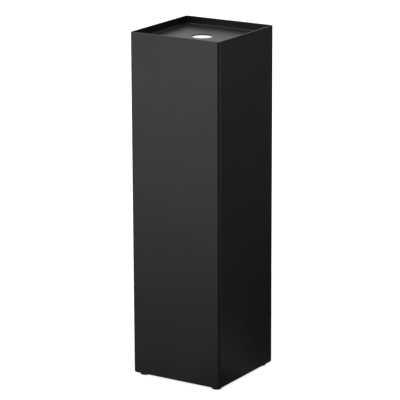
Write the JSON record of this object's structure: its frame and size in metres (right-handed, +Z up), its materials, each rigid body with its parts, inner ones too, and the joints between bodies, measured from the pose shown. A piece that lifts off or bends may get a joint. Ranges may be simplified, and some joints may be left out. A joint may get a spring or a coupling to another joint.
{
  "type": "ashtray bin",
  "caption": "Square free-standing ashtray column with a recessed lid pan, a round stub hole, a lift-out stub container with a bail handle, and screw feet.",
  "frame": {"origin": "on the floor, under the middle of the column", "axes": "+Z up along the column, front is -Y, +X to the right"},
  "size_m": [0.2, 0.2, 0.69],
  "materials": {
    "shell_coat": "satin black powder coat with a fine even texture",
    "lid_coat": "satin black powder coat",
    "inner_coat": "black powder coat, thin on the inside",
    "liner_white": "white enamel-like powder coat",
    "ballast_primer": "grey primer on hot-rolled plate",
    "zinc": "zinc plate",
    "bail_wire": "drawn wire, zinc plate",
    "grip_plastic": "black moulded plastic",
    "foot_plastic": "black moulded plastic",
    "pad_rubber": "black rubber",
    "pad_felt": "dark grey felt"
  },
  "bodies": {
    "column": {"outer_shell": "shell_coat", "ledge_right": "inner_coat", "ledge_left": "inner_coat", "ledge_back": "inner_coat", "ledge_front": "inner_coat", "ledge_pads": "pad_rubber", "base_plate": "inner_coat", "ballast_plate": "ballast_primer", "base_screws": "zinc", "base_nuts": "zinc", "ballast_bolts": "zinc", "ballast_nuts": "zinc", "ballast_washers": "zinc", "foot_nuts": "zinc"},
    "lid": {"lid_pan": "lid_coat", "lid_pads": "pad_felt"},
    "container": {"container_body": "liner_white", "container_floor": "liner_white", "bail_ears": "zinc", "bail_rests": "zinc", "container_rivets": "zinc"},
    "bail": {"bail_handle": "bail_wire", "bail_grip": "grip_plastic"},
    "foot_front_left": {"foot_pad_front_left": "foot_plastic", "foot_stud_front_left": "zinc"},
    "foot_front_right": {"foot_pad_front_right": "foot_plastic", "foot_stud_front_right": "zinc"},
    "foot_back_left": {"foot_pad_back_left": "foot_plastic", "foot_stud_back_left": "zinc"},
    "foot_back_right": {"foot_pad_back_right": "foot_plastic", "foot_stud_back_right": "zinc"}
  },
  "joints": [
    {"name": "lid_lift", "type": "slide", "parent": "column", "child": "lid", "axis": [0, 0, 1], "range_m": [0, 0.55]},
    {"name": "container_lift", "type": "slide", "parent": "column", "child": "container", "axis": [0, 0, 1], "range_m": [0, 0.43]},
    {"name": "bail_swing", "type": "hinge", "parent": "container", "child": "bail", "pos_m": [0, 0, 0.6541], "axis": [-1, 0, 0], "range_deg": [0, 90]},
    {"name": "foot_front_left_screw", "type": "slide", "parent": "column", "child": "foot_front_left", "axis": [0, 0, -1], "range_m": [0, 0.008]},
    {"name": "foot_front_right_screw", "type": "slide", "parent": "column", "child": "foot_front_right", "axis": [0, 0, -1], "range_m": [0, 0.008]},
    {"name": "foot_back_left_screw", "type": "slide", "parent": "column", "child": "foot_back_left", "axis": [0, 0, -1], "range_m": [0, 0.008]},
    {"name": "foot_back_right_screw", "type": "slide", "parent": "column", "child": "foot_back_right", "axis": [0, 0, -1], "range_m": [0, 0.008]}
  ],
  "couplings": [
    {"joint": "container_lift", "follows": "lid_lift", "ratio": 0.7818},
    {"joint": "bail_swing", "follows": "lid_lift", "rad_per_m": 2.8558}
  ]
}
